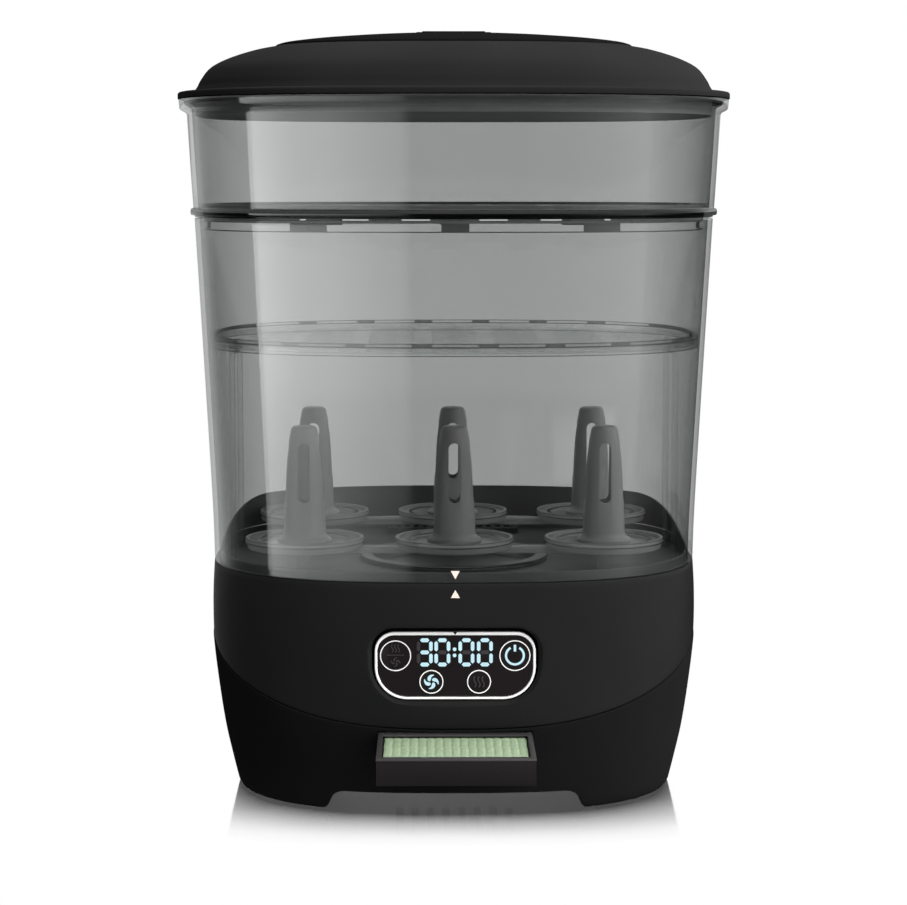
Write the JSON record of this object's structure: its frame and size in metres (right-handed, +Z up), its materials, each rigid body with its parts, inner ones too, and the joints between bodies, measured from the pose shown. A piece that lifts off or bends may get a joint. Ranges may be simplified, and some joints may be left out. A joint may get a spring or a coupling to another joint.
{
  "type": "bottle sterilizer",
  "caption": "Electric steam sterilizer and dryer for baby bottles: domed lid, smoked clear tiers with racks, powered base with panel and filter drawer.",
  "frame": {"origin": "on the floor, under the middle of the overall box, filter drawer included", "axes": "+Z up, the front with the control panel and the filter drawer faces -Y"},
  "size_m": [0.2776, 0.2722, 0.3822],
  "materials": {
    "casing_black": "fine satin grain",
    "casing_lower_black": "fine satin grain",
    "smoked_clear": "clear smoked, polished",
    "rack_grey": "smooth, slightly translucent",
    "post_grey": "smooth satin",
    "rubber_black": "matte",
    "silicone_grey": "soft matte",
    "stainless": "brushed",
    "cast_aluminium": "as cast",
    "inner_black": "plain moulded",
    "board_green": "solder mask",
    "trim_white": "smooth white",
    "window_black": "polished",
    "filter_green": "pleated filter paper",
    "drawer_black": "satin"
  },
  "bodies": {
    "base": {"base_upper_shell": "casing_black", "base_lower_shell": "casing_lower_black", "bottom_cover": "inner_black", "top_deck": "casing_black", "deck_rim": "casing_black", "rear_splash_guard": "casing_black", "heating_plate": "stainless", "plate_gasket": "silicone_grey", "heating_element": "cast_aluminium", "thermostat": "inner_black", "air_outlet_grille": "inner_black", "air_heater": "cast_aluminium", "air_riser": "inner_black", "blower_housing": "inner_black", "blower_cover": "inner_black", "fan_motor": "cast_aluminium", "air_duct": "inner_black", "filter_bay": "inner_black", "power_board": "board_green", "power_inlet": "inner_black", "panel_ring": "trim_white", "display_window": "window_black", "panel_housing": "inner_black", "control_board": "board_green", "display_module": "trim_white", "foot_1": "rubber_black", "foot_2": "rubber_black", "foot_3": "rubber_black", "foot_4": "rubber_black", "base_screw_1": "stainless", "base_screw_2": "stainless", "base_screw_3": "stainless", "base_screw_4": "stainless"},
    "main_sleeve": {"main_sleeve": "smoked_clear"},
    "accessory_tier": {"tier_wall": "smoked_clear", "tier_tray": "rack_grey"},
    "lid": {"lid_shell": "casing_black", "lid_cap": "casing_black", "lid_liner": "inner_black", "lid_seal": "silicone_grey"},
    "bottle_rack": {"bottle_rack": "rack_grey", "drying_post_1": "post_grey", "drying_post_2": "post_grey", "drying_post_3": "post_grey", "drying_post_4": "post_grey", "drying_post_5": "post_grey", "drying_post_6": "post_grey"},
    "nipple_rack": {"nipple_rack": "rack_grey", "nipple_rack_leg_left": "rack_grey", "nipple_rack_leg_right": "rack_grey"},
    "filter_drawer": {"filter_drawer": "drawer_black", "filter_media": "filter_green"},
    "fan": {"impeller": "post_grey", "motor_shaft": "stainless"},
    "key_steam_dry": {"key_steam_dry": "window_black"},
    "key_power": {"key_power": "window_black"},
    "key_dry": {"key_dry": "window_black"},
    "key_steam": {"key_steam": "window_black"}
  },
  "joints": [
    {"name": "sleeve_lift", "type": "slide", "parent": "base", "child": "main_sleeve", "axis": [0, 0, 1], "range_m": [0, 0.2]},
    {"name": "tier_lift", "type": "slide", "parent": "main_sleeve", "child": "accessory_tier", "axis": [0, 0, 1], "range_m": [0, 0.08]},
    {"name": "lid_lift", "type": "slide", "parent": "accessory_tier", "child": "lid", "axis": [0, 0, 1], "range_m": [0, 0.1]},
    {"name": "nipple_rack_lift", "type": "slide", "parent": "main_sleeve", "child": "nipple_rack", "axis": [0, 0, 1], "range_m": [0, 0.04]},
    {"name": "bottle_rack_lift", "type": "slide", "parent": "base", "child": "bottle_rack", "axis": [0, 0, 1], "range_m": [0, 0.025]},
    {"name": "drawer_slide", "type": "slide", "parent": "base", "child": "filter_drawer", "axis": [0, -1, 0], "range_m": [-0.054, 0.012]},
    {"name": "fan_spin", "type": "hinge", "parent": "base", "child": "fan", "pos_m": [-0.008, 0.05486, 0.0665], "axis": [0, 0, 1], "continuous": true},
    {"name": "key_steam_dry_press", "type": "slide", "parent": "base", "child": "key_steam_dry", "axis": [0, 1, 0], "range_m": [0, 0.0006], "stiffness_N_per_m": 400},
    {"name": "key_power_press", "type": "slide", "parent": "base", "child": "key_power", "axis": [0, 1, 0], "range_m": [0, 0.0006], "stiffness_N_per_m": 400},
    {"name": "key_dry_press", "type": "slide", "parent": "base", "child": "key_dry", "axis": [0, 1, 0], "range_m": [0, 0.0006], "stiffness_N_per_m": 400},
    {"name": "key_steam_press", "type": "slide", "parent": "base", "child": "key_steam", "axis": [0, 1, 0], "range_m": [0, 0.0006], "stiffness_N_per_m": 400}
  ]
}
